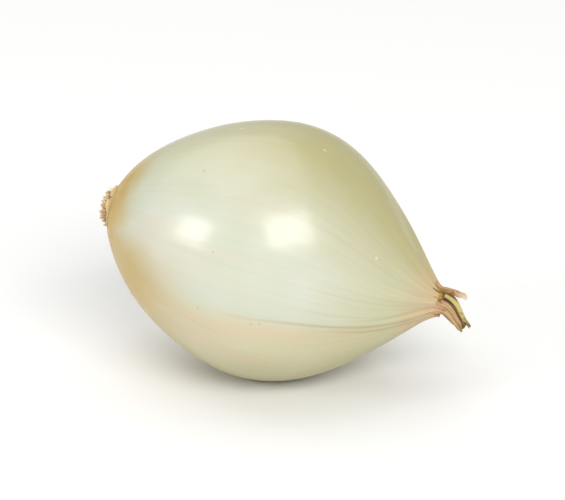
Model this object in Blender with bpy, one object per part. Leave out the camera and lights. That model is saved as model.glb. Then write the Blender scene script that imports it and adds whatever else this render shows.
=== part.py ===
# White onion, as picked and dried, lying on its side on a small flat spot.
#
# The bulb, with its skin and the neck that the skin is drawn up into, grew as one piece and is one
# solid. The withered leaf ends beyond the neck and the crust of dry roots behind the bulb are a
# piece each, and can be rubbed off by hand.
#
# Each piece is modelled about the onion's own axis: local +X from the roots to the neck, with the
# widest ring at X = 0. The pose empty then lays the onion down with its neck a little low.

import math

import bmesh
import bpy
from mathutils import Matrix, Vector

# Driving dimensions, in metres and degrees
EQUATOR_RADIUS = 0.0375  # half the widest diameter
ROOT_REACH = 0.0480  # from the widest ring to where the root side would close
ROOT_FULLNESS = 1.7  # exponent of the root side: 2 is an ellipse, less is more pointed
ROOT_SEAT_RADIUS = 0.0050  # flat disc that the root crust sits on
NECK_REACH = 0.0502  # from the widest ring to where the skin is drawn tight
NECK_RADIUS = 0.0042
NECK_DROOP = 0.0022  # how far the neck's end lies below the onion's axis
NECK_DROOP_ONSET = 1.8  # exponent: higher keeps the axis straight for longer
SHOULDER_FULLNESS = 2.2  # higher keeps the shoulder wide for longer
SHOULDER_DRAW = 1.28  # higher draws the neck in earlier
FLAT_DEPTH = 0.0009  # how far the belly is pressed in where the onion lies
PITCH = 10.0  # the neck end lies this much lower than the root end
PIECE_GAP = 0.0003  # clearance between neighbouring pieces

ROOT_CRUST_RADIUS = 0.0049
ROOT_CRUST_THICKNESS = 0.0026
ROOT_STUB_LENGTH = 0.0020  # longest root stub
ROOT_STUB_SHORTEST = 0.20  # shortest stub's share of the longest
ROOT_STUB_INSET = 0.00015  # bare crust left round each stub's foot
ROOT_STUB_TAPER = 0.70  # width of a stub's end against its foot
LEAF_TIP_LENGTH = 0.0115
LEAF_TIP_END_RADIUS = 0.0016
LEAF_TIP_BEND = 45.0  # the withered tips hang this much below the onion's axis
LEAF_TIP_BENT_BY = 0.45  # share of the tips' length by which they have bent down
LEAF_TIP_TAPER = 0.80  # exponent of the taper: 1 is a straight cone

# How the surface departs from a turned shape
LOBES = ((2, 0.010, 0.6), (3, 0.007, -1.0), (5, 0.003, 2.1))  # count, share of radius, phase
LOBES_FULL_TO_ROOT = 0.5  # share of the root side at which the lobes begin to fade
LOBES_FULL_TO_NECK = 0.4  # the same on the neck side
NECK_PLEATS = ((7, 0.050, 0.4), (11, 0.035, 1.9))
NECK_PLEATS_START = 0.55  # share of the neck side at which the pleats begin
NECK_TWIST = 12.0  # the pleats turn this much on their way to the neck

# Mesh density
BULB_SEGMENTS = 72
ROOT_SIDE_RINGS = 18
NECK_SIDE_RINGS = 28
TIP_SEGMENTS = 24
TIP_RINGS = 12
CRUST_SUBDIVISIONS = 3  # of the icosphere that the crust is cut from
GOLDEN_ANGLE = 2.4  # radians: spreads the stubs' lengths with no repeat


def smoothstep(low, high, value):
    share = min(max((value - low) / (high - low), 0.0), 1.0)
    return share * share * (3.0 - 2.0 * share)


def turned_radius(station):
    """Radius of the bulb before lobes and pleats, at a distance along the axis."""
    if station < 0.0:
        share = min(-station / ROOT_REACH, 1.0)
        return EQUATOR_RADIUS * (1.0 - share**ROOT_FULLNESS) ** (1.0 / ROOT_FULLNESS)
    share = min(station / NECK_REACH, 1.0)
    drawn = (1.0 - share**SHOULDER_FULLNESS) ** SHOULDER_DRAW
    return NECK_RADIUS + (EQUATOR_RADIUS - NECK_RADIUS) * drawn


def root_seat_station():
    """Where the root side has come in to the radius of the root seat."""
    seat = (ROOT_SEAT_RADIUS / EQUATOR_RADIUS) ** ROOT_FULLNESS
    return -ROOT_REACH * (1.0 - seat) ** (1.0 / ROOT_FULLNESS)


def centre_at(station):
    """Centre of the bulb's cross-section, which droops a little towards the neck."""
    share = min(max(station / NECK_REACH, 0.0), 1.0)
    return Vector((station, 0.0, -NECK_DROOP * share**NECK_DROOP_ONSET))


def neck_twist(station):
    """How far the pleats have turned, in radians: most of the turn is close to the neck."""
    return math.radians(NECK_TWIST) * smoothstep(0.0, NECK_REACH, station) ** 2


def pleated(radius, angle, amount):
    """Radius with the gathered skin's pleats, which amount fades in from 0 to 1."""
    folds = sum(size * math.cos(count * angle + phase) for count, size, phase in NECK_PLEATS)
    return radius * (1.0 + amount * folds)


def bulb_radius(station, angle):
    """Radius of the bulb in one direction round the axis."""
    lobed = smoothstep(root_seat_station(), -LOBES_FULL_TO_ROOT * ROOT_REACH, station)
    lobed *= 1.0 - smoothstep(LOBES_FULL_TO_NECK * NECK_REACH, NECK_REACH, station)
    lobes = sum(size * math.cos(count * angle + phase) for count, size, phase in LOBES)
    radius = turned_radius(station) * (1.0 + lobed * lobes)
    gathered = smoothstep(NECK_PLEATS_START, 1.0, station / NECK_REACH)
    return pleated(radius, angle - neck_twist(station), gathered)


def bulb_stations():
    """Ring places from the root seat to the neck, closer together towards the roots."""
    seat = root_seat_station()
    root_side = [
        seat * math.cos(0.5 * math.pi * ring / ROOT_SIDE_RINGS) for ring in range(ROOT_SIDE_RINGS)
    ]
    neck_side = [NECK_REACH * ring / NECK_SIDE_RINGS for ring in range(NECK_SIDE_RINGS + 1)]
    return root_side + neck_side


def ring_point(centre, along, radius, angle):
    """Point on a ring round a centre, square to the direction along, which lies in the XZ plane."""
    up = Vector((-along.z, 0.0, along.x))
    side = Vector((0.0, 1.0, 0.0))
    return centre + radius * (math.cos(angle) * side + math.sin(angle) * up)


def skin_rings(mesh, rings):
    """Closes a row of rings of points into one solid with flat ends."""
    loops = [[mesh.verts.new(point) for point in ring] for ring in rings]
    count = len(loops[0])
    for here, there in zip(loops, loops[1:]):
        for i in range(count):
            j = (i + 1) % count
            mesh.faces.new((here[i], there[i], there[j], here[j]))
    mesh.faces.new(loops[0])
    mesh.faces.new(reversed(loops[-1]))
    bmesh.ops.recalc_face_normals(mesh, faces=mesh.faces)


def make_object(name, mesh, material, smooth_below=40.0):
    data = bpy.data.meshes.new(name)
    mesh.to_mesh(data)
    mesh.free()
    data.materials.append(material)
    data.shade_smooth()
    data.set_sharp_from_angle(angle=math.radians(smooth_below))
    made = bpy.data.objects.new(name, data)
    bpy.context.scene.collection.objects.link(made)
    return made


def make_material(name, colour, roughness):
    material = bpy.data.materials.new(name)
    material.use_nodes = True
    shader = material.node_tree.nodes["Principled BSDF"]
    shader.inputs["Base Color"].default_value = (*colour, 1.0)
    shader.inputs["Roughness"].default_value = roughness
    shader.inputs["Metallic"].default_value = 0.0
    return material


def cut_flat(mesh, point, outward):
    """Cuts away what lies beyond a plane, and closes the cut with one flat face."""
    geometry = mesh.verts[:] + mesh.edges[:] + mesh.faces[:]
    cut = bmesh.ops.bisect_plane(
        mesh, geom=geometry, dist=1e-6, plane_co=point, plane_no=outward, clear_outer=True
    )
    rim = [item for item in cut["geom_cut"] if isinstance(item, bmesh.types.BMEdge)]
    bmesh.ops.edgeloop_fill(mesh, edges=rim)
    bmesh.ops.recalc_face_normals(mesh, faces=mesh.faces)


def make_bulb(material, down):
    """The bulb with its resting spot, and how far that spot is from the widest ring's centre."""
    mesh = bmesh.new()
    along = Vector((1.0, 0.0, 0.0))
    rings = []
    for station in bulb_stations():
        angles = [math.tau * i / BULB_SEGMENTS for i in range(BULB_SEGMENTS)]
        centre = centre_at(station)
        rings.append([ring_point(centre, along, bulb_radius(station, a), a) for a in angles])
    skin_rings(mesh, rings)
    floor = max(vertex.co.dot(down) for vertex in mesh.verts) - FLAT_DEPTH
    cut_flat(mesh, down * floor, down)
    return make_object("bulb", mesh, material), floor


def make_leaf_tips(material):
    """The withered leaf ends: one pleated, twisted wisp that bends down from the neck."""
    mesh = bmesh.new()
    centre = centre_at(NECK_REACH) + Vector((PIECE_GAP, 0.0, 0.0))
    step = LEAF_TIP_LENGTH / TIP_RINGS
    rings = []
    for ring in range(TIP_RINGS + 1):
        share = ring / TIP_RINGS
        bend = math.radians(LEAF_TIP_BEND) * smoothstep(0.0, LEAF_TIP_BENT_BY, share)
        along = Vector((math.cos(bend), 0.0, -math.sin(bend)))
        radius = NECK_RADIUS + (LEAF_TIP_END_RADIUS - NECK_RADIUS) * share**LEAF_TIP_TAPER
        twist = math.radians(NECK_TWIST) * (1.0 + share)
        points = []
        for i in range(TIP_SEGMENTS):
            angle = math.tau * i / TIP_SEGMENTS
            points.append(ring_point(centre, along, pleated(radius, angle - twist, 1.0), angle))
        rings.append(points)
        centre = centre + along * step
    skin_rings(mesh, rings)
    return make_object("leaf_tips", mesh, material)


def make_root_crust(material):
    """The dry root crust: a low dome behind the root seat whose every face carries a root stub."""
    mesh = bmesh.new()
    seat = Vector((root_seat_station() - PIECE_GAP, 0.0, 0.0))
    size = (ROOT_CRUST_THICKNESS, ROOT_CRUST_RADIUS, ROOT_CRUST_RADIUS)
    dome = Matrix.Translation(seat) @ Matrix.Diagonal((*size, 1.0))
    bmesh.ops.create_icosphere(mesh, subdivisions=CRUST_SUBDIVISIONS, radius=1.0, matrix=dome)
    cut_flat(mesh, seat, Vector((1.0, 0.0, 0.0)))
    dome_faces = [face for face in mesh.faces if face.normal.x < 0.5]
    grow_stubs(mesh, dome_faces, seat.x)
    return make_object("root_crust", mesh, material, smooth_below=25.0)


def grow_stubs(mesh, faces, seat_station):
    """Raises a short tapered stub from each face, of a length that varies from one to the next."""
    bmesh.ops.inset_individual(mesh, faces=faces, thickness=ROOT_STUB_INSET)
    for number, face in enumerate(faces):
        spread = 0.5 + 0.5 * math.sin(GOLDEN_ANGLE * number)
        length = ROOT_STUB_LENGTH * (ROOT_STUB_SHORTEST + (1.0 - ROOT_STUB_SHORTEST) * spread)
        away = (face.normal + Vector((-1.0, 0.0, 0.0))).normalized()
        middle = face.calc_center_median()
        for vertex in face.verts:
            vertex.co = middle + (vertex.co - middle) * ROOT_STUB_TAPER + away * length
            vertex.co.x = min(vertex.co.x, seat_station)


def stand_at_origin(pose, pieces):
    """Moves the posed onion so that its box is centred on the origin and its flat spot is at Z = 0."""
    bpy.context.view_layer.update()
    corners = [
        piece.matrix_world @ vertex.co for piece in pieces for vertex in piece.data.vertices
    ]
    for axis in (0, 1):
        low = min(corner[axis] for corner in corners)
        high = max(corner[axis] for corner in corners)
        pose.location[axis] -= (low + high) / 2.0


def main():
    for old in list(bpy.data.objects):
        bpy.data.objects.remove(old)
    skin = make_material("onion_skin", (0.74, 0.75, 0.53), 0.30)
    dry_leaf = make_material("dry_leaf", (0.56, 0.38, 0.17), 0.75)
    dry_root = make_material("dry_root", (0.60, 0.47, 0.27), 0.90)

    laid_down = Matrix.Rotation(math.radians(PITCH), 4, "Y")
    down = laid_down.inverted() @ Vector((0.0, 0.0, -1.0))
    bulb, floor = make_bulb(skin, down)
    pieces = [bulb, make_leaf_tips(dry_leaf), make_root_crust(dry_root)]

    pose = bpy.data.objects.new("onion_pose", None)
    bpy.context.scene.collection.objects.link(pose)
    pose.rotation_euler = laid_down.to_euler()
    pose.location = (0.0, 0.0, floor)
    for piece in pieces:
        piece.parent = pose
    stand_at_origin(pose, pieces)


main()
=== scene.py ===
import math
import random

import bpy
import numpy as np
from mathutils import Matrix, Vector, noise


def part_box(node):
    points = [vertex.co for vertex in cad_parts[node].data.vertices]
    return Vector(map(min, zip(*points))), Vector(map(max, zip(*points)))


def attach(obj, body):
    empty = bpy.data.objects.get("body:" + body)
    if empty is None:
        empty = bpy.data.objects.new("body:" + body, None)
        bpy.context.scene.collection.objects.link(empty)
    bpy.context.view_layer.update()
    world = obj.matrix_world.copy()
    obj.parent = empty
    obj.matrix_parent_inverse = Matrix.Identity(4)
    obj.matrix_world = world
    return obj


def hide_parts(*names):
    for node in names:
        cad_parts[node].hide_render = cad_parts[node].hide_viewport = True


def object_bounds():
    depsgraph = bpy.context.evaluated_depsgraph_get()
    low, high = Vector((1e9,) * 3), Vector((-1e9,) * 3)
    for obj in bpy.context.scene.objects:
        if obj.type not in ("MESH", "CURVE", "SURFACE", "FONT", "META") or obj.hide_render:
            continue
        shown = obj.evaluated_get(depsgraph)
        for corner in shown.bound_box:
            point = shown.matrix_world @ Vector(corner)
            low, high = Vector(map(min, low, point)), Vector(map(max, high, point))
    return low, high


# A white onion lying on its side: the bulb in its pale skin, the withered leaf tips beyond the
# neck, and the crust of dry roots at the other end, with a collar of torn skin round it.
#
# Everything is first shaped about the onion's own axis, +X from the roots to the neck with the
# widest ring at X = 0, and then laid down with the matrix "laid", neck a little low.
# A "station" is a place along that axis in metres. A "turn" is the angle round it in degrees:
# 90 is the top, 180 the near side, 270 the bottom.

mm = 0.001

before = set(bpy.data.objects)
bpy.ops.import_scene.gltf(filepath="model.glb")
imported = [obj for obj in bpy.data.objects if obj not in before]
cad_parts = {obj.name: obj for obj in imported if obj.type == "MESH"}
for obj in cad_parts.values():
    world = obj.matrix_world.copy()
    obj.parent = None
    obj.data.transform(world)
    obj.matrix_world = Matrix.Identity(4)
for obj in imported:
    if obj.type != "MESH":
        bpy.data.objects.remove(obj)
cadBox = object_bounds()
print("frame loaded:", ", ".join(sorted(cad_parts)))


def smooth(low, high, value):  # 0 below low, 1 above high, soft between
    share = np.clip((value - low) / (high - low), 0.0, 1.0)
    return share * share * (3.0 - 2.0 * share)


def linear(code):  # sRGB hex to the linear colour that a shader takes
    parts = [int(code[i:i + 2], 16) / 255 for i in (0, 2, 4)]
    return [c / 12.92 if c <= 0.04045 else ((c + 0.055) / 1.055) ** 2.4 for c in parts] + [1.0]


def deselectAll():
    bpy.ops.object.select_all(action="DESELECT")


def selectOnly(piece):
    deselectAll()
    piece.select_set(True)
    bpy.context.view_layer.objects.active = piece


def readPlaces(piece):
    places = np.empty(len(piece.data.vertices) * 3, np.float32)
    piece.data.vertices.foreach_get("co", places)
    return places.reshape(-1, 3).astype(float)


def writePlaces(piece, places):
    piece.data.vertices.foreach_set("co", places.astype(np.float32).ravel())
    piece.data.update()


def setAttribute(piece, name, values):  # three numbers for every vertex, which a material reads
    layer = piece.data.attributes.new(name, "FLOAT_VECTOR", "POINT")
    layer.data.foreach_set("vector", np.asarray(values, np.float32).ravel())


def lumps(places, size, seed):  # smooth noise from about -1 to 1 with lumps about this big
    away = Vector((seed * 7.3, seed * 3.1, seed * 5.7))
    return np.array([noise.noise(Vector(p) / size + away) for p in places])


def faceOutward(piece):
    selectOnly(piece)
    bpy.ops.object.mode_set(mode="EDIT")
    bpy.ops.mesh.select_all(action="SELECT")
    bpy.ops.mesh.normals_make_consistent(inside=False)
    bpy.ops.object.mode_set(mode="OBJECT")


def addModifier(piece, kind, **settings):
    selectOnly(piece)
    modifier = piece.modifiers.new(kind.lower(), kind)
    for name, value in settings.items():
        setattr(modifier, name, value)
    bpy.ops.object.modifier_apply(modifier=modifier.name)


def joinAll(pieces, name):
    selectOnly(pieces[0])
    for piece in pieces:
        piece.select_set(True)
    bpy.ops.object.join()
    pieces[0].name = name
    return pieces[0]


def addNode(tree, kind, inputs=None, out=0, **settings):
    node = tree.nodes.new("ShaderNode" + kind)
    for name, value in settings.items():
        setattr(node, name, value)
    for socket, value in (inputs or {}).items():
        if isinstance(value, bpy.types.NodeSocket):
            tree.links.new(value, node.inputs[socket])
        else:
            node.inputs[socket].default_value = value
    return node.outputs[out]


rgba = {"out": 2, "data_type": "RGBA"}  # for a Mix node that mixes colours
soft = {"interpolation_type": "SMOOTHSTEP"}  # for a Map Range node with soft ends


def newMaterial(name):
    material = bpy.data.materials.new(name)
    material.use_nodes = True
    return material, material.node_tree, material.node_tree.nodes["Principled BSDF"]


def finishPiece(piece, material, node=None):
    piece.data.materials.clear()
    piece.data.materials.append(material)
    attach(piece, "root")
    if node:
        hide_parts(node)


# The camera and the studio

studio = {
    "azimuth": 15.0,  # the camera looks along +Y, turned this much towards the neck
    "elevation": 22.0,
    "distance": 0.80,
    "lens": 180.0,
    "worldColour": "ffffff",
    "worldStrength": 0.47,
    "floorSize": 12.0,
    "floorColour": "ebebea",
}

# azimuth and elevation in degrees, distance and size in metres, power in watts
softboxes = {
    "keySoftbox": {
        "azimuth": 36.0,
        "elevation": 36.0,
        "distance": 2.0,
        "size": (1.45, 0.95),
        "power": 31.0,
    },
    "sideSoftbox": {
        "azimuth": -53.0,
        "elevation": 20.0,
        "distance": 1.6,
        "size": (0.52, 0.50),
        "power": 6.4,
    },
    "ceilingSoftbox": {
        "azimuth": 225.0,
        "elevation": 64.0,
        "distance": 2.6,
        "size": (3.2, 3.2),
        "power": 37.0,
    },
}


def direction(azimuth, elevation):  # from the onion, azimuth 0 towards -Y and 90 towards +X
    a, e = math.radians(azimuth), math.radians(elevation)
    return Vector((math.sin(a) * math.cos(e), -math.cos(a) * math.cos(e), math.sin(e)))


def facing(back):
    return back.to_track_quat("Z", "Y").to_euler()


def addSoftbox(name, centre, box):
    away = direction(box["azimuth"], box["elevation"])
    place = centre + away * box["distance"]
    bpy.ops.object.light_add(type="AREA", location=place, rotation=facing(away))
    lamp = bpy.context.active_object
    lamp.name = name
    lamp.data.shape = "RECTANGLE"
    lamp.data.size, lamp.data.size_y = box["size"]
    lamp.data.energy = box["power"]


def makeStudio():
    centre = (cadBox[0] + cadBox[1]) / 2
    back = direction(studio["azimuth"], studio["elevation"])
    bpy.ops.object.camera_add(location=centre + back * studio["distance"], rotation=facing(back))
    camera = bpy.context.active_object
    camera.data.lens = studio["lens"]
    bpy.context.scene.camera = camera

    for name, box in softboxes.items():
        addSoftbox(name, centre, box)

    world = bpy.data.worlds.new("whiteRoom")
    world.use_nodes = True
    background = world.node_tree.nodes["Background"]
    background.inputs["Color"].default_value = linear(studio["worldColour"])
    background.inputs["Strength"].default_value = studio["worldStrength"]
    bpy.context.scene.world = world
    bpy.context.scene.view_settings.view_transform = "Standard"

    deselectAll()
    bpy.ops.mesh.primitive_plane_add(size=studio["floorSize"], location=(0, 0, 0))
    floor = bpy.context.active_object
    floor.name = "floor"
    paper, _, shader = newMaterial("whitePaperSweep")  # uncoated paper, no gloss
    shader.inputs["Base Color"].default_value = linear(studio["floorColour"])
    shader.inputs["Roughness"].default_value = 0.9
    shader.inputs["Specular IOR Level"].default_value = 0.2
    floor.data.materials.append(paper)
    print("studio ready")


makeStudio()


# The bulb. Its outline is the CAD bulb's, and its skin adds what is too small for the CAD.

bulb = {
    "equatorRadius": 37.5 * mm,
    "rootReach": 48.0 * mm,
    "rootFullness": 1.7,  # 2 is an ellipse, less is more pointed
    "rootSeat": 5.0 * mm,
    "neckReach": 50.2 * mm,
    "neckRadius": 4.2 * mm,
    "neckDroop": 2.2 * mm,
    "neckDroopOnset": 1.8,
    "shoulderFullness": 2.2,
    "shoulderDraw": 1.28,
    "pitch": 10.0,  # degrees, neck low
    "lobes": ((2, 0.010, 0.6), (3, 0.007, -1.0), (5, 0.003, 2.1)),  # count, share of radius, phase
    "lobesFullToRoot": 0.5,  # shares of the reach between which the lobes are full
    "lobesFullToNeck": 0.4,
    "pleats": ((7, 0.050, 0.4), (11, 0.035, 1.9)),
    "pleatsStart": 0.55,
    "finePleats": ((19, 0.014, 0.3), (31, 0.008, 1.1), (47, 0.004, 2.0)),
    "finePleatsStart": 0.72,
    "neckTwist": 12.0,

    # the sheet that is rolled up into the bulb
    "seam": 290.0,  # turn at which it meets itself, under the belly
    "around": 600,
    "along": 150,
    "capRows": 4,  # rows of the sheet that close each end
    "capSink": 1.6 * mm,
    "closerBy": 1.2,  # how much closer the rings stand towards both ends
    "closerFromRoot": 0.75,
    "closerFromNeck": 0.55,
    "tornRim": 0.9 * mm,  # how far the neck's rim is torn in and out
    "tornRimFine": 0.5 * mm,
    "tornFrom": 0.93,

    # the relief of the skin; stations are where it begins and where it is full
    "foldTurn": 188.0,  # the edge of one skin over the next, along this meridian to the neck
    "foldHeight": 0.20 * mm,
    "foldEdge": 0.45 * mm,
    "foldFade": 10 * mm,
    "foldWave": 1.0 * mm,
    "foldWaveLength": 11 * mm,
    "foldStations": (-20 * mm, 16 * mm),
    "ribCount": 9.0,
    "ribLength": 40 * mm,
    "ribHeight": 0.05 * mm,
    "ribHeightAtEnds": 0.12 * mm,  # added there
    "ribsAtRootFrom": 0.55,
    "ribsAtNeckFrom": 0.2,
    "fineRibCount": 24.0,
    "fineRibLength": 30 * mm,
    "fineRibHeight": 0.012 * mm,
    "fineRibHeightAtNeck": 0.035 * mm,
    "dentSize": 26 * mm,
    "dentDepth": 0.35 * mm,
    "puckerCount": 3.5,
    "puckerLength": 2.2 * mm,
    "puckerHeight": 0.22 * mm,
    "puckerReach": 4.5 * mm,  # from the root seat

    # tones of the skin, with painted shade and painted reflection among them; turns and stations
    # are where each begins and where it is full
    "toneWander": (15 * mm, 6 * mm),  # size of the lumps that make their edges wander
    "bellyEdge": 10.0,  # degrees to each side of the fold in which the belly comes in
    "bellyEdgeSharper": 7.5,  # taken off that towards the neck
    "bellySharperStations": (-25 * mm, 32 * mm),
    "bellyLower": 7.0,  # degrees that it starts lower towards the roots
    "bellyLowerStations": (-5 * mm, -34 * mm),
    "bellyFades": (300.0, 345.0),  # full up to the first turn, gone at the second
    # the shoulder's olive is partly the skin's own and partly painted shade
    "shoulderTurns": (160.0, 97.0),
    "shoulderFarTurns": (15.0, 50.0),
    "shoulderWider": 10.0,  # degrees that it reaches further round towards the neck
    "shoulderWiderStations": (15 * mm, 45 * mm),
    "shoulderAtRoot": 0.50,  # its share there, whole at the stations below
    "shoulderStations": (-30 * mm, 10 * mm),
    # painted shade on the underside, in the shoulder's colour
    "paintedUnderShadeTurns": (203.0, 236.0),
    "paintedUnderShadeFarTurns": (335.0, 300.0),
    "paintedUnderShadeShare": 0.65,
    "rootStations": (-34 * mm, -44 * mm),
    # painted warm reflection and shade along the lower side towards the roots
    "paintedReflectionAndShadeTurns": (160.0, 194.0),
    "paintedReflectionAndShadeFarTurns": (300.0, 235.0),
    "paintedReflectionAndShadeStations": (-9 * mm, -36 * mm),
    "paintedReflectionAndShadeShare": 0.80,
    "neckStations": (38 * mm, 50 * mm),

    # lines along the fold, the first painted shadow under its edge: metres from it, half width,
    # stations
    "foldShadeAndLines": (
        (0.0, 0.45 * mm, (-16 * mm, 30 * mm)),
        (1.7 * mm, 0.50 * mm, (18 * mm, 38 * mm)),
        (-2.2 * mm, 0.40 * mm, (26 * mm, 42 * mm)),
    ),
}


def seatStation():  # where the root end has come in to the root seat
    seat = (bulb["rootSeat"] / bulb["equatorRadius"]) ** bulb["rootFullness"]
    return -bulb["rootReach"] * (1.0 - seat) ** (1.0 / bulb["rootFullness"])


def turnedRadius(station):
    full, wide, neck = bulb["rootFullness"], bulb["equatorRadius"], bulb["neckRadius"]
    rootShare = np.clip(-station / bulb["rootReach"], 0.0, 1.0)
    neckShare = np.clip(station / bulb["neckReach"], 0.0, 1.0)
    rootSide = wide * (1.0 - rootShare**full) ** (1.0 / full)
    drawn = (1.0 - neckShare ** bulb["shoulderFullness"]) ** bulb["shoulderDraw"]
    return np.where(station < 0.0, rootSide, neck + (wide - neck) * drawn)


def droop(station):  # how far the middle of a ring lies below the axis
    share = np.clip(station / bulb["neckReach"], 0.0, 1.0)
    return bulb["neckDroop"] * share ** bulb["neckDroopOnset"]


def ringPlaces(station, angle, radius):
    return np.stack([station, radius * np.cos(angle), radius * np.sin(angle) - droop(station)], -1)


def neckTwist(station):  # how far the pleats have turned, in radians
    return math.radians(bulb["neckTwist"]) * smooth(0.0, bulb["neckReach"], station) ** 2


def waves(angle, parts):
    return sum(size * np.cos(count * angle + phase) for count, size, phase in parts)


def creases(angle, parts):  # rounded ridges with sharp valleys between
    return sum(
        size * (2 * abs(np.cos(count * angle / 2 + phase)) - 1) for count, size, phase in parts
    )


def bulbRadius(station, angle):
    lobed = smooth(seatStation(), -bulb["lobesFullToRoot"] * bulb["rootReach"], station)
    fullTo = bulb["lobesFullToNeck"] * bulb["neckReach"]
    lobed = lobed * (1.0 - smooth(fullTo, bulb["neckReach"], station))
    along = station / bulb["neckReach"]
    grainAngle = angle - neckTwist(station)
    radius = turnedRadius(station) * (1.0 + lobed * waves(angle, bulb["lobes"]))
    pleated = smooth(bulb["pleatsStart"], 1.0, along) * waves(grainAngle, bulb["pleats"])
    fine = smooth(bulb["finePleatsStart"], 1.0, along) * creases(grainAngle, bulb["finePleats"])
    return radius * (1.0 + pleated) * (1.0 + fine)


def layOnion():  # lays the onion's axis where the CAD bulb's box says
    station, angle = np.meshgrid(
        np.linspace(seatStation(), bulb["neckReach"], 240), np.linspace(0.0, math.tau, 361)
    )
    pitched = Matrix.Rotation(math.radians(bulb["pitch"]), 3, "Y")
    places = ringPlaces(station, angle, bulbRadius(station, angle)).reshape(-1, 3)
    places = places @ np.array(pitched).T
    low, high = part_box("bulb")
    shift = Vector((
        high.x - places[:, 0].max(),
        (low.y + high.y - places[:, 1].max() - places[:, 1].min()) / 2,
        high.z - places[:, 2].max(),
    ))
    return Matrix.Translation(shift) @ pitched.to_4x4()


laid = layOnion()
print("onion axis laid at", [round(x / mm, 2) for x in laid.translation], "mm")


def profileRows():  # stations of the rings from the root seat to the neck, closer at both ends
    station = np.linspace(seatStation(), bulb["neckReach"], 4000)
    step = np.hypot(np.diff(station), np.diff(turnedRadius(station)))
    middle = (station[1:] + station[:-1]) / 2
    toNeck = smooth(bulb["closerFromNeck"], 1.0, middle / bulb["neckReach"])
    toRoot = smooth(-bulb["closerFromRoot"], -1.0, middle / bulb["rootReach"])
    closer = 1.0 + bulb["closerBy"] * (toNeck + toRoot)
    walked = np.concatenate([[0.0], np.cumsum(step * closer)])
    sideRows = bulb["along"] - 2 * bulb["capRows"]
    return np.interp(np.linspace(0.0, walked[-1], sideRows + 1), walked, station)


def foldDistance(station, angle):  # metres round the bulb from the fold, positive towards the belly
    across = angle - neckTwist(station) - math.radians(bulb["foldTurn"])
    across = across * turnedRadius(station)
    return across + bulb["foldWave"] * np.sin(station / bulb["foldWaveLength"])


def foldHeight(station, angle):  # a small step, soft above and sharp below
    across = foldDistance(station, angle)
    step = 1.0 - smooth(-bulb["foldEdge"], bulb["foldEdge"], across)
    fade = np.exp(-((np.minimum(across, 0.0) / bulb["foldFade"]) ** 2))
    reach = smooth(*bulb["foldStations"], station)
    return bulb["foldHeight"] * step * fade * reach


def skinRelief(station, angle, places):  # ribs over the veins, dents, puckers and the fold
    grainAngle = angle - neckTwist(station)
    ring = np.stack([np.cos(grainAngle), np.sin(grainAngle)], -1)
    toNeck = smooth(bulb["ribsAtNeckFrom"], 1.0, station / bulb["neckReach"])
    toRoot = smooth(-bulb["ribsAtRootFrom"], -1.0, station / bulb["rootReach"])
    narrow = turnedRadius(station) / bulb["equatorRadius"]
    grain = np.column_stack([ring * bulb["ribCount"], station / bulb["ribLength"]])
    height = bulb["ribHeight"] + bulb["ribHeightAtEnds"] * (toNeck + toRoot) * narrow
    ribs = lumps(grain, 1.0, 1) * height
    grain = np.column_stack([ring * bulb["fineRibCount"], station / bulb["fineRibLength"]])
    height = bulb["fineRibHeight"] + bulb["fineRibHeightAtNeck"] * toNeck * narrow
    finer = lumps(grain, 1.0, 2) * height
    dents = lumps(places, bulb["dentSize"], 3) * bulb["dentDepth"] * narrow
    grain = np.column_stack([ring * bulb["puckerCount"], station / bulb["puckerLength"]])
    puckers = lumps(grain, 1.0, 6) * bulb["puckerHeight"]
    puckers = puckers * smooth(bulb["puckerReach"], 0.0, station - seatStation())
    return ribs + finer + dents + puckers + foldHeight(station, angle)


def shapeBulb(piece):  # rolls the sheet up: its columns become meridians, its rows rings
    along, capRows = bulb["along"], bulb["capRows"]
    sheet = readPlaces(piece)
    angle = (sheet[:, 0] + 0.5) * math.tau + math.radians(bulb["seam"])
    row = (sheet[:, 1] + 0.5) * along
    rings = profileRows()
    width = np.clip(np.minimum(row, along - row) / capRows, 0.0, 1.0)
    station = rings[np.clip(np.rint(row).astype(int) - capRows, 0, len(rings) - 1)]
    radius = bulbRadius(station, angle)

    # the relief stands off square to the profile
    slope = (turnedRadius(station + 0.1 * mm) - turnedRadius(station - 0.1 * mm)) / (0.2 * mm)
    slope = np.clip(slope, -6.0, 6.0)
    length = np.hypot(slope, 1.0)
    raised = skinRelief(station, angle, ringPlaces(station, angle, radius))
    station = station - raised * slope / length
    radius = radius + raised / length

    # the caps sink in a little, and the neck's rim is torn
    rim = np.column_stack([np.cos(angle) * 2.2, np.sin(angle) * 2.2, angle * 0.0])
    torn = bulb["tornRim"] * lumps(rim, 1.0, 4)
    torn = torn + bulb["tornRimFine"] * lumps(rim * 3.1, 1.0, 5)
    torn = torn * smooth(bulb["tornFrom"], 1.0, station / bulb["neckReach"])
    station = station + torn * width
    station = station - bulb["capSink"] * (1.0 - width) * np.sign(station)
    writePlaces(piece, ringPlaces(station, angle, radius * width))


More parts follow.
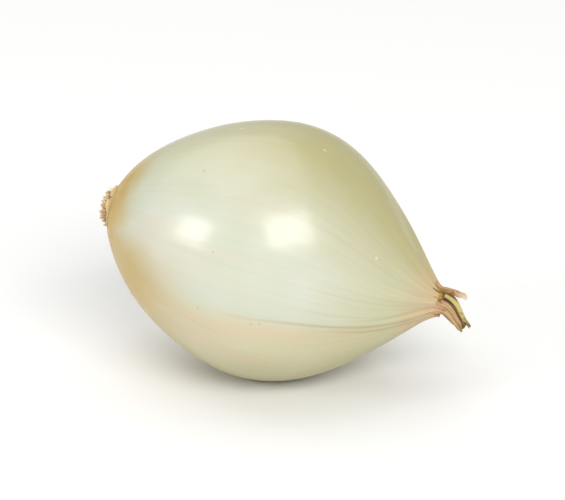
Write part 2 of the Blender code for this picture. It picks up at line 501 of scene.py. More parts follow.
def paintTones(piece):
    # "grain" runs with the veins: the turn as a cosine and a sine, and the station in bulb radii.
    # "tones" says how much a place is belly below the fold, olive shoulder darkened with painted
    # shade or painted shade on the underside, and one of the two ends: more than 0 at the neck,
    # less than 0 at the roots, where painted warm reflection and shade along the lower side is
    # added.
    places = readPlaces(piece)
    upright = laid.inverted()
    own = places @ np.array(upright.to_3x3()).T + np.array(upright.translation)
    station = own[:, 0]
    angle = np.arctan2(own[:, 2] + droop(station), own[:, 1]) % math.tau
    grainAngle = angle - neckTwist(station)
    grain = [np.cos(grainAngle), np.sin(grainAngle), station / bulb["equatorRadius"]]
    setAttribute(piece, "grain", np.column_stack(grain))

    turn = np.degrees(angle)
    coarse, fine = bulb["toneWander"]
    drift = lumps(own, coarse, 7) + 0.5 * lumps(own, fine, 8)
    edge = bulb["bellyEdge"]
    edge = edge - bulb["bellyEdgeSharper"] * smooth(*bulb["bellySharperStations"], station)
    start = bulb["foldTurn"] + np.degrees(neckTwist(station))
    start = start + bulb["bellyLower"] * smooth(*bulb["bellyLowerStations"], station)
    belly = smooth(start - edge, start + edge, turn + 2.0 * drift)
    belly = belly * (1.0 - smooth(*bulb["bellyFades"], turn + 9.0 * drift))

    # the olive shoulder: partly the skin's own olive, partly painted shade on the top
    wider = bulb["shoulderWider"] * smooth(*bulb["shoulderWiderStations"], station)
    shoulder = smooth(*bulb["shoulderTurns"], turn + 5.0 * drift - wider)
    shoulder = shoulder * smooth(*bulb["shoulderFarTurns"], turn + 9.0 * drift)
    full = smooth(*bulb["shoulderStations"], station + 4 * mm * drift)
    shoulder = shoulder * (bulb["shoulderAtRoot"] + (1.0 - bulb["shoulderAtRoot"]) * full)
    # painted shade on the underside, which shares the shoulder's colour
    paintedUnderShade = smooth(*bulb["paintedUnderShadeTurns"], turn + 5.0 * drift)
    paintedUnderShade = paintedUnderShade * smooth(*bulb["paintedUnderShadeFarTurns"], turn + 5.0 * drift)
    shoulder = np.maximum(shoulder, bulb["paintedUnderShadeShare"] * paintedUnderShade)

    atRoot = smooth(*bulb["rootStations"], station + 2.5 * mm * drift)
    # painted warm reflection and shade along the lower side towards the roots, added to the root
    # end
    paintedReflectionAndShade = smooth(*bulb["paintedReflectionAndShadeTurns"], turn + 6.0 * drift)
    paintedReflectionAndShade = paintedReflectionAndShade * smooth(*bulb["paintedReflectionAndShadeFarTurns"], turn + 6.0 * drift)
    paintedReflectionAndShade = paintedReflectionAndShade * smooth(*bulb["paintedReflectionAndShadeStations"], station + 2.0 * mm * drift)
    atRoot = np.maximum(atRoot, bulb["paintedReflectionAndShadeShare"] * paintedReflectionAndShade)
    atNeck = smooth(*bulb["neckStations"], station + 3.0 * mm * drift)
    setAttribute(piece, "tones", np.column_stack([belly, shoulder, atNeck - atRoot]))

    # "lines" is how much a place lies on the fold's edge, where a painted shadow is drawn, or on
    # the creases that run beside it
    across = foldDistance(station, angle)
    lines = [
        np.exp(-(((across - beside) / halfWidth) ** 2)) * smooth(*stations, station)
        for beside, halfWidth, stations in bulb["foldShadeAndLines"]
    ]
    setAttribute(piece, "lines", np.column_stack(lines))


def makeBulb():
    deselectAll()
    around, along = bulb["around"], bulb["along"]
    bpy.ops.mesh.primitive_grid_add(x_subdivisions=around, y_subdivisions=along, size=1.0)
    piece = bpy.context.active_object
    piece.name = "onionBulb"
    piece.data.uv_layers[0].name = "OFBake"  # the sheet laid out flat
    shapeBulb(piece)
    piece.data.transform(laid)

    bpy.ops.object.mode_set(mode="EDIT")
    bpy.ops.mesh.select_all(action="SELECT")
    bpy.ops.mesh.remove_doubles(threshold=0.001 * mm)  # closes the seam and both poles
    bpy.ops.mesh.select_all(action="SELECT")
    bpy.ops.mesh.bisect(plane_co=(0, 0, 0), plane_no=(0, 0, 1), use_fill=True, clear_inner=True)
    bpy.ops.object.mode_set(mode="OBJECT")
    faceOutward(piece)
    paintTones(piece)
    bpy.ops.object.shade_smooth_by_angle(angle=math.radians(50))
    print("bulb:", len(piece.data.polygons), "faces")
    return piece


skin = {
    "ground": "c7c8ba",
    "groundCooler": "c0c5b2",
    "cream": "cac5b1",
    # olive of the shoulder, partly the skin's own and partly painted shade; it also paints shade on
    # the underside
    "shoulder": "a8a066",
    # olive towards the neck, partly the skin's own tone and partly painted shade
    "neckwardOliveAndShade": "b6b488",
    "belly": "c4c09b",
    "bellyRosy": "c8b997",
    # golden root end, also the colour of the painted warm reflection and shade along the lower side
    "rootGoldAndPaintedReflection": "b4922c",
    # painted shade in the groove round the root crust
    "paintedGrooveShade": "8c6c1c",
    "neck": "c4a57f",
    # painted shadow on the fold's edge, and the creases beside it
    "foldShadeAndLine": "8d7850",
    "vein": "8e8a58",
    "streak": "a79d6c",
    "veinCount": 64,
    "veinWidth": 0.14,  # share of the space between veins
    "veinStrength": 0.08,
    "veinStrengthAtNeck": 0.28,  # added towards that end
    "veinStrengthAtRoot": 0.22,
    "foldShadeAndLineStrengths": (0.40, 0.35, 0.30),
    "subsurface": (1.0, 0.7, 0.35),
    "subsurfaceDepth": 2.5 * mm,
    "bumpDepth": 0.05 * mm,
    # small marks: station in mm, turn, radius in mm, strength, colour
    "marks": (
        (-18.0, 127.0, 0.55, 0.55, "6d6a48"),
        (-8.5, 163.0, 0.50, 0.40, "77744f"),
        (-9.8, 190.6, 0.60, 0.45, "a1653a"),
        (8.2, 189.0, 0.65, 0.40, "a1653a"),
        (5.9, 190.0, 0.45, 0.30, "a1653a"),
        (-3.6, 231.0, 1.10, 0.40, "9a7340"),
        (33.0, 139.0, 0.60, 0.45, "f0f0e2"),
        (11.0, 96.0, 0.70, 0.45, "ecebd8"),
        (-13.9, 92.0, 0.80, 0.45, "ecebd8"),
    ),
}


def onionSkin():
    # Living onion skin with a waxy bloom: pale greenish cream, satin gloss, a little
    # translucent, with fine darker veins that run from the roots to the neck.
    material, tree, shader = newMaterial("onionSkin")
    grain = addNode(tree, "Attribute", attribute_name="grain", out=1)
    tones = addNode(tree, "Attribute", attribute_name="tones", out=1)
    place = addNode(tree, "TexCoord", out=3)
    cosine, sine, station = [addNode(tree, "SeparateXYZ", {0: grain}, out=i) for i in range(3)]
    belly, shoulder, ends = [addNode(tree, "SeparateXYZ", {0: tones}, out=i) for i in range(3)]

    # noise drawn out along the veins: broad, fine and very fine
    drawnOut = {}
    for name, count, along in (("broad", 5.0, 0.7), ("fine", 15.0, 0.9), ("finest", 38.0, 1.1)):
        stretch = (count, count, along)
        scaled = addNode(tree, "VectorMath", {0: grain, 1: stretch}, operation="MULTIPLY")
        drawnOut[name] = addNode(tree, "TexNoise", {"Vector": scaled, "Scale": 1.0, "Detail": 3.0})
    clouds = addNode(tree, "TexNoise", {"Vector": place, "Scale": 1 / (24 * mm), "Detail": 3.0})
    mottle = addNode(tree, "TexNoise", {"Vector": place, "Scale": 1 / (3.5 * mm), "Detail": 4.0})

    # ground colour: cooler and creamier clouds
    tone = {name: linear(code) for name, code in skin.items() if isinstance(code, str)}
    cooler = addNode(tree, "MapRange", {0: clouds, 1: 0.38, 2: 0.62}, **soft)
    colour = addNode(tree, "Mix", {0: cooler, 6: tone["ground"], 7: tone["groundCooler"]}, **rgba)
    creamy = addNode(tree, "MapRange", {0: drawnOut["broad"], 1: 0.45, 2: 0.68, 4: 0.6})
    colour = addNode(tree, "Mix", {0: creamy, 6: colour, 7: tone["cream"]}, **rgba)

    # the belly below the fold, warm and in places rosy, and the olive shoulder, partly the skin's
    # own olive and partly painted shade, whose colour also paints shade on the underside
    rosy = addNode(tree, "MapRange", {0: drawnOut["broad"], 1: 0.40, 2: 0.62})
    warm = addNode(tree, "Mix", {0: rosy, 6: tone["belly"], 7: tone["bellyRosy"]}, **rgba)
    share = addNode(tree, "Math", {0: belly, 1: 0.85}, operation="MULTIPLY")
    colour = addNode(tree, "Mix", {0: share, 6: colour, 7: warm}, **rgba)
    share = addNode(tree, "Math", {0: shoulder, 1: 0.85}, operation="MULTIPLY")
    colour = addNode(tree, "Mix", {0: share, 6: colour, 7: tone["shoulder"]}, **rgba)

    # olive cream towards the neck, partly the skin's own tone and partly painted shade; tan where
    # it is drawn tight; a golden root end with painted warm reflection and shade along the lower
    # side; and painted shade in the olive brown groove round the root crust
    share = addNode(tree, "MapRange", {0: station, 1: 0.35, 2: 1.1, 4: 0.75}, **soft)
    away = addNode(tree, "Math", {0: 1.0, 1: shoulder}, operation="SUBTRACT")
    share = addNode(tree, "Math", {0: share, 1: away}, operation="MULTIPLY")
    colour = addNode(tree, "Mix", {0: share, 6: colour, 7: tone["neckwardOliveAndShade"]}, **rgba)
    # the golden root end, with painted warm reflection and shade along the lower side
    share = addNode(tree, "MapRange", {0: ends, 1: 0.0, 2: -1.0, 4: 1.0})
    colour = addNode(tree, "Mix", {0: share, 6: colour, 7: tone["rootGoldAndPaintedReflection"]}, **rgba)
    share = addNode(tree, "MapRange", {0: ends, 1: 0.0, 2: 1.0, 4: 0.80})
    colour = addNode(tree, "Mix", {0: share, 6: colour, 7: tone["neck"]}, **rgba)
    # painted shade in the groove where the skin meets the root crust
    seat = seatStation() / bulb["equatorRadius"]
    wobbly = addNode(tree, "Math", {0: mottle, 1: 0.12, 2: station}, operation="MULTIPLY_ADD")
    paintedGrooveShade = addNode(tree, "MapRange", {0: wobbly, 1: seat + 0.125, 2: seat + 0.075, 4: 0.85})
    colour = addNode(tree, "Mix", {0: paintedGrooveShade, 6: colour, 7: tone["paintedGrooveShade"]}, **rgba)

    # veins: one dark line in every cell round the axis, each with a strength of its own,
    # wavering a little, faint on the belly and clearer towards both ends
    count = skin["veinCount"]
    turn = addNode(tree, "Math", {0: sine, 1: cosine}, operation="ARCTAN2")
    turn = addNode(tree, "Math", {0: turn, 1: count / math.tau}, operation="MULTIPLY")
    cells = addNode(tree, "Math", {0: drawnOut["broad"], 1: 1.6, 2: turn}, operation="MULTIPLY_ADD")
    cell = addNode(tree, "Math", {0: cells}, operation="FLOOR")
    cell = addNode(tree, "Math", {0: cell, 1: float(count)}, operation="FLOORED_MODULO")
    strength = addNode(tree, "TexWhiteNoise", {"W": cell}, noise_dimensions="1D")
    inCell = addNode(tree, "Math", {0: cells}, operation="FRACT")
    offCentre = addNode(tree, "Math", {0: inCell, 1: 0.5}, operation="SUBTRACT")
    offCentre = addNode(tree, "Math", {0: offCentre}, operation="ABSOLUTE")
    line = addNode(tree, "MapRange", {0: offCentre, 1: skin["veinWidth"], 2: 0.0}, **soft)
    atNeck, atRoot = skin["veinStrengthAtNeck"], skin["veinStrengthAtRoot"]
    toNeck = addNode(tree, "MapRange", {0: station, 1: 0.45, 2: 1.25, 4: atNeck})
    toRoot = addNode(tree, "MapRange", {0: station, 1: -0.75, 2: -1.2, 4: atRoot})
    clearer = addNode(tree, "Math", {0: toNeck, 1: toRoot}, operation="ADD")
    clearer = addNode(tree, "Math", {0: clearer, 1: skin["veinStrength"]}, operation="ADD")
    veins = addNode(tree, "Math", {0: line, 1: strength}, operation="MULTIPLY")
    veins = addNode(tree, "Math", {0: veins, 1: clearer}, operation="MULTIPLY")
    colour = addNode(tree, "Mix", {0: veins, 6: colour, 7: tone["vein"]}, **rgba)
    streaks = addNode(tree, "MapRange", {0: drawnOut["finest"], 1: 0.46, 2: 0.82})
    streaks = addNode(tree, "Math", {0: streaks, 1: clearer}, operation="MULTIPLY")
    colour = addNode(tree, "Mix", {0: streaks, 6: colour, 7: tone["streak"]}, **rgba)

    # painted shadow on the fold's edge, and the creases beside it
    lines = addNode(tree, "Attribute", attribute_name="lines", out=1)
    strengths = skin["foldShadeAndLineStrengths"]
    share = addNode(tree, "VectorMath", {0: lines, 1: strengths}, out=1, operation="DOT_PRODUCT")
    colour = addNode(tree, "Mix", {0: share, 6: colour, 7: tone["foldShadeAndLine"]}, **rgba)

    # freckles, specks and pale ticks
    for atStation, atTurn, radius, strength, code in skin["marks"]:
        atStation, angle = atStation * mm, math.radians(atTurn)
        spot = laid @ Vector(ringPlaces(atStation, angle, bulbRadius(atStation, angle)))
        away = addNode(tree, "VectorMath", {0: place, 1: spot}, out=1, operation="DISTANCE")
        away = addNode(tree, "Math", {0: mottle, 1: 0.8 * mm, 2: away}, operation="MULTIPLY_ADD")
        rim = radius * mm + 0.4 * mm
        mask = addNode(tree, "MapRange", {0: away, 1: rim, 2: 0.45 * rim, 4: strength})
        colour = addNode(tree, "Mix", {0: mask, 6: colour, 7: linear(code)}, **rgba)

    tree.links.new(colour, shader.inputs["Base Color"])
    shader.inputs["IOR"].default_value = 1.48
    shader.inputs["Subsurface Weight"].default_value = 0.12
    shader.inputs["Subsurface Radius"].default_value = skin["subsurface"]
    shader.inputs["Subsurface Scale"].default_value = skin["subsurfaceDepth"]
    shader.inputs["Coat Weight"].default_value = 0.38  # the wax on top of the skin
    shader.inputs["Coat Roughness"].default_value = 0.16
    shader.inputs["Coat IOR"].default_value = 1.5

    # satin, and duller at the dry ends and on the shoulder
    rough = addNode(tree, "MapRange", {0: drawnOut["fine"], 1: 0.3, 2: 0.7, 3: 0.285, 4: 0.33})
    dull = addNode(tree, "Math", {0: ends}, operation="ABSOLUTE")
    dull = addNode(tree, "Math", {0: dull, 1: shoulder}, operation="MAXIMUM")
    rough = addNode(tree, "Math", {0: dull, 1: 0.25, 2: rough}, operation="MULTIPLY_ADD")
    tree.links.new(rough, shader.inputs["Roughness"])

    height = addNode(tree, "Math", {0: drawnOut["finest"], 1: 0.5}, operation="MULTIPLY")
    height = addNode(tree, "Math", {0: line, 1: -0.3, 2: height}, operation="MULTIPLY_ADD")
    depth = skin["bumpDepth"]
    bump = addNode(tree, "Bump", {"Height": height, "Strength": 0.15, "Distance": depth})
    tree.links.new(bump, shader.inputs["Normal"])
    return material


finishPiece(makeBulb(), onionSkin(), "bulb")


# The withered leaf tips, which bend down from the neck: dry blades rolled round a core coloured
# dark as painted shade between them.

tips = {
    "bend": 45.0,  # degrees below the onion's axis
    "bentBy": 0.45,  # share of the length by which it has bent
    "length": 11.5 * mm,
    "endRadius": 1.6 * mm,
    "taper": 0.8,
    "thickness": 0.22 * mm,
    "wrinkles": 0.30 * mm,
    "raggedness": 0.10,
    "waver": 0.12,
    "leastRadius": 0.4 * mm,
    "narrowEnd": 0.7,  # every blade narrows by this share in its last part
    "narrowEndFrom": 0.82,
    "bladeGrid": (24, 36),
    "coreGrid": (48, 36),
    "coreStart": -1.5,  # start and length along the neck, as the blades'
    "coreLength": 12.4,
    "coreWidth": 0.66,  # share of the tips' radius
    "coreUneven": 0.16,
    "colours": {
        # painted shade: the core shows dark between the blades
        "coreShade": "4f3710",
        "fibres": "8b6536",
        "paleFibres": "ddc59a",
        "stains": "6f4f24",
    },
}

# Each blade: middle turn and half width in degrees, start and length along the neck in mm, how
# far it stands off at its foot and more at its end in mm, the share by which it narrows, and its
# colours in the middle, at the edges and at the end
blades = (
    {"turn": 198, "half": 60, "start": -2.0, "length": 13.0, "off": -0.45, "flare": 0.2,
     "narrow": 0.2, "colours": ("c0a074", "b38d66", "a88c54")},
    {"turn": 66, "half": 56, "start": -2.0, "length": 13.2, "off": -0.45, "flare": 0.4,
     "narrow": 0.0, "colours": ("c9be84", "bbaa64", "77601f")},
    {"turn": 305, "half": 56, "start": -2.0, "length": 11.8, "off": -0.55, "flare": 0.2,
     "narrow": 0.3, "colours": ("b8905e", "a57c4c", "8c6636")},
    {"turn": 126, "half": 30, "start": -2.0, "length": 3.3, "off": -0.20, "flare": 0.5,
     "narrow": 0.3, "colours": ("b08a3a", "93702e", "6f5220")},
    {"turn": 84, "half": 30, "start": -2.0, "length": 6.0, "off": -0.25, "flare": 3.0,
     "narrow": 0.2, "colours": ("c9a27c", "80592c", "dcc8a8")},
    {"turn": 104, "half": 17, "start": -2.0, "length": 4.2, "off": -0.15, "flare": 1.8,
     "narrow": 0.3, "colours": ("8d6a34", "5f4720", "a07a48")},
    {"turn": 35, "half": 20, "start": -2.0, "length": 5.2, "off": -0.2, "flare": 2.0,
     "narrow": 0.5, "colours": ("c09a70", "94703e", "cfb48c")},
    {"turn": 255, "half": 24, "start": -1.8, "length": 4.4, "off": -0.1, "flare": 0.5,
     "narrow": 0.5, "colours": ("c69e80", "b58a66", "b08a5c")},
    {"turn": 335, "half": 24, "start": -1.8, "length": 6.0, "off": -0.15, "flare": 1.2,
     "narrow": 0.5, "colours": ("b98f62", "9a7446", "c4a57a")},
    {"turn": 178, "half": 14, "start": -2.0, "length": 5.0, "off": -0.15, "flare": 0.3,
     "narrow": 0.7, "colours": ("cfa98c", "c49a78", "b88f60")},
)


def followTips(along, angle, radius):
    # a place round the line that the tips follow, this far past the neck's end (less than 0: on it)
    steps = np.linspace(-6 * mm, 20 * mm, 521)
    step = steps[1] - steps[0]
    tilts = math.radians(tips["bend"]) * smooth(0.0, tips["bentBy"] * tips["length"], steps)
    x = bulb["neckReach"] + steps[0] + np.cumsum(np.cos(tilts)) * step
    z = -droop(bulb["neckReach"] + np.minimum(steps, 0.0)) - np.cumsum(np.sin(tilts)) * step
    tilt = np.interp(along, steps, tilts)
    up = radius * np.sin(angle)
    return np.stack([
        np.interp(along, steps, x) + up * np.sin(tilt),
        radius * np.cos(angle),
        np.interp(along, steps, z) + up * np.cos(tilt),
    ], -1)


def tipsRadius(along, angle):
    onNeck = bulbRadius(bulb["neckReach"] + np.minimum(along, 0.0), angle)
    share = np.clip(along / tips["length"], 0.0, 1.0) ** tips["taper"]
    return onNeck + (tips["endRadius"] - bulb["neckRadius"]) * share


def addLeafSheet(columns, rows):  # a flat sheet and its places, each within 0.5 of the middle
    deselectAll()
    bpy.ops.mesh.primitive_grid_add(x_subdivisions=columns, y_subdivisions=rows, size=1.0)
    piece = bpy.context.active_object
    piece.data.uv_layers[0].name = "leafMap"
    return piece, readPlaces(piece)


def makeBlade(number, blade):
    piece, sheet = addLeafSheet(*tips["bladeGrid"])
    across, up = sheet[:, 0] * 2.0, sheet[:, 1] + 0.5
    own = np.full_like(across, number * 3.7)
    ragged = lumps(np.column_stack([across * 1.6, own, own]), 1.0, 11)
    ragged = ragged + 0.6 * lumps(np.column_stack([across * 5.0, own, own]), 1.0, 12)
    along = (blade["start"] + blade["length"] * up * (1.0 + tips["raggedness"] * ragged)) * mm
    spread = math.radians(blade["half"]) * (1 - blade["narrow"] * up)
    spread = spread * (1 - tips["narrowEnd"] * smooth(tips["narrowEndFrom"], 1.0, up))
    angle = math.radians(blade["turn"]) + across * spread
    angle = angle + tips["waver"] * lumps(np.column_stack([up * 2.0, own, own]), 1.0, 13)

    wrinkled = lumps(np.column_stack([across * 2.6, up * 0.9, own]), 1.0, 14)
    wrinkled = wrinkled + 0.5 * lumps(np.column_stack([across * 7.0, up * 1.6, own]), 1.0, 15)
    radius = tipsRadius(along, angle) + (blade["off"] + blade["flare"] * up**2) * mm
    radius = radius + tips["wrinkles"] * wrinkled * smooth(0.0, 0.35, up)
    writePlaces(piece, followTips(along, angle, np.maximum(radius, tips["leastRadius"])))

    middle, edge, end = [np.array(linear(code)[:3]) for code in blade["colours"]]
    hue = middle + (edge - middle) * (abs(across) ** 2)[:, None]
    hue = hue + (end - hue) * smooth(0.72, 1.0, up)[:, None]
    setAttribute(piece, "leafHue", hue)
    addModifier(piece, "SOLIDIFY", thickness=tips["thickness"], offset=-1.0)
    return piece


def makeCore():  # what shows dark between the blades
    piece, sheet = addLeafSheet(*tips["coreGrid"])
    angle, up = (sheet[:, 0] + 0.5) * math.tau, sheet[:, 1] + 0.5
    along = (tips["coreStart"] + tips["coreLength"] * up) * mm
    ring = np.column_stack([np.cos(angle) * 1.8, np.sin(angle) * 1.8, up * 1.5])
    uneven = tips["coreUneven"] * lumps(ring, 1.0, 16)
    radius = tipsRadius(along, angle) * (tips["coreWidth"] + uneven)
    closed = np.minimum(1.0, np.minimum(up, 1.0 - up) * 12.0) ** 0.5
    writePlaces(piece, followTips(along, angle, radius * closed))
    # the core's dark colour is painted shade between the blades
    hue = linear(tips["colours"]["coreShade"])[:3]
    setAttribute(piece, "leafHue", np.tile(hue, (len(sheet), 1)))
    bpy.ops.object.mode_set(mode="EDIT")
    bpy.ops.mesh.select_all(action="SELECT")
    bpy.ops.mesh.remove_doubles(threshold=0.001 * mm)
    bpy.ops.object.mode_set(mode="OBJECT")
    return piece


def dryLeaf():
    # Withered onion leaf: papery and matte, golden tan to pinkish, with fine fibres along it
    # and darker stains where it is folded.
    material, tree, shader = newMaterial("dryLeaf")
    hue = addNode(tree, "Attribute", attribute_name="leafHue")
    sheet = addNode(tree, "UVMap", uv_map="leafMap")
    place = addNode(tree, "TexCoord", out=3)
    scaled = addNode(tree, "VectorMath", {0: sheet, 1: (22.0, 1.6, 1.0)}, operation="MULTIPLY")
    drawnOut = {"Vector": scaled, "Scale": 1.0, "Detail": 4.0, "Roughness": 0.65}
    fibres = addNode(tree, "TexNoise", drawnOut)
    stains = addNode(tree, "TexNoise", {"Vector": place, "Scale": 1 / (2.2 * mm), "Detail": 3.0})

    tone = {name: linear(code) for name, code in tips["colours"].items()}
    mask = addNode(tree, "MapRange", {0: fibres, 1: 0.50, 2: 0.72, 4: 0.55})
    colour = addNode(tree, "Mix", {0: mask, 6: hue, 7: tone["fibres"]}, **rgba)
    mask = addNode(tree, "MapRange", {0: fibres, 1: 0.46, 2: 0.30, 4: 0.45})
    colour = addNode(tree, "Mix", {0: mask, 6: colour, 7: tone["paleFibres"]}, **rgba)
    mask = addNode(tree, "MapRange", {0: stains, 1: 0.55, 2: 0.72, 4: 0.65})
    colour = addNode(tree, "Mix", {0: mask, 6: colour, 7: tone["stains"]}, **rgba)

    tree.links.new(colour, shader.inputs["Base Color"])
    shader.inputs["IOR"].default_value = 1.42
    rough = addNode(tree, "MapRange", {0: stains, 1: 0.3, 2: 0.7, 3: 0.58, 4: 0.75})
    tree.links.new(rough, shader.inputs["Roughness"])
    bump = addNode(tree, "Bump", {"Height": fibres, "Strength": 0.5, "Distance": 0.10 * mm})
    tree.links.new(bump, shader.inputs["Normal"])
    return material


def makeLeafTips():
    pieces = [makeBlade(number, blade) for number, blade in enumerate(blades)] + [makeCore()]
    piece = joinAll(pieces, "leafTips")
    piece.data.transform(laid)
    faceOutward(piece)
    bpy.ops.object.shade_smooth_by_angle(angle=math.radians(60))
    print("leaf tips:", len(blades), "blades,", len(piece.data.polygons), "faces")
    return piece


dryLeafMaterial = dryLeaf()
finishPiece(makeLeafTips(), dryLeafMaterial, "leaf_tips")


# The crust of dry roots: a lumpy plate set thickly with the stubs of broken roots, and the collar
# of torn skin that it sits in.

crust = {
    "radius": 4.8 * mm,
    "depth": 2.5 * mm,
    "sunk": 0.4 * mm,  # how far the plate reaches into the bulb's dimple
    "lumpSize": 1.1 * mm,
    "lumpHeight": 0.22 * mm,
    "stubCount": 150,
    "stubRadius": 0.34 * mm,
    "stubLength": 2.2 * mm,
    "stubsReach": 0.97,  # share of the plate's radius on which they stand
    "stubsFoot": 0.85,  # share of the plate's depth at which they start
    "splay": 0.34,
    "lean": 0.22,
    "girths": (0.75, 1.25),  # the thinnest and thickest stub, as shares of the radius
    "lengths": (0.35, 1.0),
    "shorterAtRim": 0.12,
    "goldenAngle": 2.39996,
    "seed": 11,
    "colours": {
        # painted shade at the stubs' feet and on the plate between them
        "foot": "957540",
        "tip": "ccae7c",
        "patches": "cda67c",
        "broken": "e6d9bc",
        "dark": "91703c",
    },
}


def rootPlate():
    deselectAll()
    bpy.ops.mesh.primitive_uv_sphere_add(segments=72, ring_count=36, radius=crust["radius"])
    piece = bpy.context.active_object
    bpy.ops.object.mode_set(mode="EDIT")
    bpy.ops.mesh.select_all(action="SELECT")
    bpy.ops.transform.resize(value=(crust["depth"] / crust["radius"], 1.0, 1.0))
    bpy.ops.mesh.bisect(plane_co=(0, 0, 0), plane_no=(1, 0, 0), use_fill=True, clear_outer=True)
    bpy.ops.object.mode_set(mode="OBJECT")
    places = readPlaces(piece)
    away = places / np.maximum(np.linalg.norm(places, axis=1), 0.1 * mm)[:, None]
    rough = crust["lumpHeight"] * lumps(places, crust["lumpSize"], 21)
    writePlaces(piece, places + away * (rough * (places[:, 0] < -0.1 * mm))[:, None])
    setAttribute(piece, "toTip", np.zeros((len(places), 3)))
    return piece


def rootStub():  # a broken root pointing up +Z, bent a little, its end torn
    deselectAll()
    bpy.ops.mesh.primitive_circle_add(vertices=7, radius=crust["stubRadius"], fill_type="NGON")
    piece = bpy.context.active_object
    bpy.ops.object.mode_set(mode="EDIT")
    bpy.ops.mesh.select_all(action="SELECT")
    rise = crust["stubLength"] / 4
    for aside, grown in ((0.05, 0.92), (0.11, 0.84), (0.20, 0.88), (0.30, 0.55)):
        bpy.ops.mesh.extrude_region_move(TRANSFORM_OT_translate={"value": (aside * rise, 0, rise)})
        bpy.ops.transform.resize(value=(grown, grown, 1.0))
    bpy.ops.object.mode_set(mode="OBJECT")
    height = readPlaces(piece)[:, 2] / crust["stubLength"]
    setAttribute(piece, "toTip", np.column_stack([height, height, height]))
    return piece


def makeCrust():
    draw = random.Random(crust["seed"])
    plate = rootPlate()
    stub = rootStub()
    pieces = [plate]
    for number in range(crust["stubCount"]):
        out = crust["radius"] * crust["stubsReach"] * math.sqrt((number + 0.5) / crust["stubCount"])
        turn = number * crust["goldenAngle"]
        depth = crust["depth"] * math.sqrt(max(1.0 - (out / crust["radius"]) ** 2, 0.0))
        foot = Vector((-depth * crust["stubsFoot"], out * math.cos(turn), out * math.sin(turn)))
        splay = crust["splay"] * out / crust["radius"]
        heading = Vector((-1.0, splay * math.cos(turn), splay * math.sin(turn)))
        heading += Vector([draw.uniform(-crust["lean"], crust["lean"]) for _ in range(3)])
        girth = draw.uniform(*crust["girths"])
        length = draw.uniform(*crust["lengths"]) - crust["shorterAtRim"] * out / crust["radius"]
        stand = heading.to_track_quat("Z", "Y").to_matrix().to_4x4()
        roll = Matrix.Rotation(draw.uniform(0.0, math.tau), 4, "Z")
        copy = stub.copy()
        copy.data = stub.data.copy()
        size = Matrix.Diagonal((girth, girth, length, 1.0))
        copy.data.transform(Matrix.Translation(foot) @ stand @ roll @ size)
        bpy.context.collection.objects.link(copy)
        pieces.append(copy)
    bpy.data.objects.remove(stub)
    piece = joinAll(pieces, "rootCrust")
    piece.data.transform(laid @ Matrix.Translation((seatStation() + crust["sunk"], 0, 0)))
    faceOutward(piece)
    bpy.ops.object.shade_smooth_by_angle(angle=math.radians(40))
    print("root crust:", crust["stubCount"], "stubs,", len(piece.data.polygons), "faces")
    return piece


def dryRoot():
    # Dead onion roots: corky and matte, tan, paler where they broke off, and darker at their feet
    # and on the plate between them as painted shade.
    material, tree, shader = newMaterial("dryRoot")
    toTip = addNode(tree, "Attribute", attribute_name="toTip", out=2)
    place = addNode(tree, "TexCoord", out=3)
    mottle = addNode(tree, "TexNoise", {"Vector": place, "Scale": 1 / (1.3 * mm), "Detail": 4.0})
    patches = addNode(tree, "TexNoise", {"Vector": place, "Scale": 1 / (3.5 * mm), "Detail": 2.0})
    # darker towards the stubs' feet and on the plate: painted shade between them
    fromFootShade = addNode(tree, "MapRange", {0: toTip, 1: 0.0, 2: 0.55})
    tone = {name: linear(code) for name, code in crust["colours"].items()}
    colour = addNode(tree, "Mix", {0: fromFootShade, 6: tone["foot"], 7: tone["tip"]}, **rgba)
    mask = addNode(tree, "MapRange", {0: patches, 1: 0.42, 2: 0.62, 4: 0.5})
    colour = addNode(tree, "Mix", {0: mask, 6: colour, 7: tone["patches"]}, **rgba)
    mask = addNode(tree, "MapRange", {0: toTip, 1: 0.62, 2: 1.0, 4: 0.9})
    colour = addNode(tree, "Mix", {0: mask, 6: colour, 7: tone["broken"]}, **rgba)
    mask = addNode(tree, "MapRange", {0: mottle, 1: 0.52, 2: 0.72, 4: 0.5})
    colour = addNode(tree, "Mix", {0: mask, 6: colour, 7: tone["dark"]}, **rgba)
    tree.links.new(colour, shader.inputs["Base Color"])
    shader.inputs["IOR"].default_value = 1.45
    rough = addNode(tree, "MapRange", {0: mottle, 1: 0.3, 2: 0.7, 3: 0.78, 4: 0.92})
    tree.links.new(rough, shader.inputs["Roughness"])
    bump = addNode(tree, "Bump", {"Height": mottle, "Strength": 0.6, "Distance": 0.12 * mm})
    tree.links.new(bump, shader.inputs["Normal"])
    return material


finishPiece(makeCrust(), dryRoot(), "root_crust")


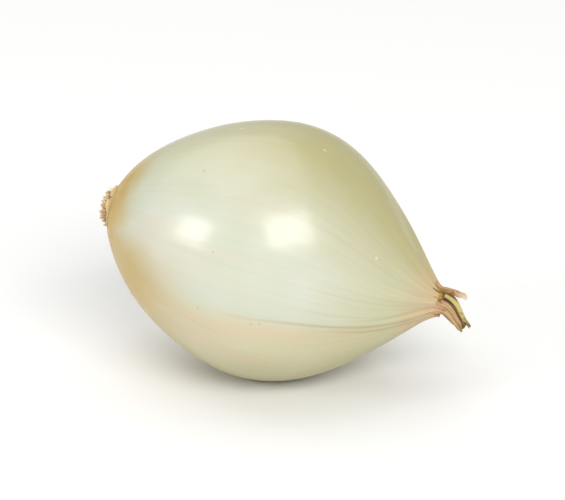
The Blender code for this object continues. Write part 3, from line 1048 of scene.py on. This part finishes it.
collar = {
    "foot": 1.6 * mm,  # where it starts, on the skin ahead of the root seat
    "length": 2.3 * mm,
    "flare": 0.2 * mm,
    "raggedness": 0.8 * mm,
    "thickness": 0.2 * mm,
    "clearance": 0.05 * mm,  # off the skin under it
    "ruffle": 0.35 * mm,
    "furthest": 1.6 * mm,  # it follows the skin out to here past the root seat's rim
    "grid": (180, 14),
    "colours": ("cdb07c", "a58430", "e2d2ae"),  # middle, foot, torn edge
}


def makeCollar():
    piece, sheet = addLeafSheet(*collar["grid"])
    for corner in piece.data.uv_layers[0].data:
        corner.uv = (corner.uv[0] * 6.0, corner.uv[1])  # finer fibres, as it is wide and short
    angle, up = (sheet[:, 0] + 0.5) * math.tau, sheet[:, 1] + 0.5
    ring = np.column_stack([np.cos(angle), np.sin(angle), angle * 0.0])
    ragged = lumps(ring * 2.0, 1.0, 31) + 0.8 * lumps(ring * 6.5, 1.0, 32)
    along = collar["length"] * up + collar["raggedness"] * ragged * up**2
    station = seatStation() + collar["foot"] - along
    onSkin = bulbRadius(np.maximum(station, seatStation() + 0.2 * mm), angle)
    onSkin = np.minimum(onSkin, bulb["rootSeat"] + collar["furthest"])
    ruffled = lumps(np.column_stack([ring[:, :2] * 4.0, up * 1.2]), 1.0, 33)
    ruffled = ruffled * collar["ruffle"] * up
    radius = onSkin + collar["clearance"] + ruffled + collar["flare"] * up**2
    writePlaces(piece, ringPlaces(station, angle, radius))
    middle, foot, edge = [np.array(linear(code)[:3]) for code in collar["colours"]]
    hue = foot + (middle - foot) * smooth(0.15, 0.55, up)[:, None]
    hue = hue + (edge - hue) * smooth(0.75, 1.0, up)[:, None]
    setAttribute(piece, "leafHue", hue)

    selectOnly(piece)
    bpy.ops.object.mode_set(mode="EDIT")
    bpy.ops.mesh.select_all(action="SELECT")
    bpy.ops.mesh.remove_doubles(threshold=0.001 * mm)
    bpy.ops.mesh.normals_make_consistent(inside=False)
    bpy.ops.object.mode_set(mode="OBJECT")
    addModifier(piece, "SOLIDIFY", thickness=collar["thickness"], offset=1.0)
    piece.name = "tornCollar"
    piece.data.transform(laid)
    bpy.ops.object.shade_smooth_by_angle(angle=math.radians(60))
    print("torn collar:", len(piece.data.polygons), "faces")
    return piece


finishPiece(makeCollar(), dryLeafMaterial)
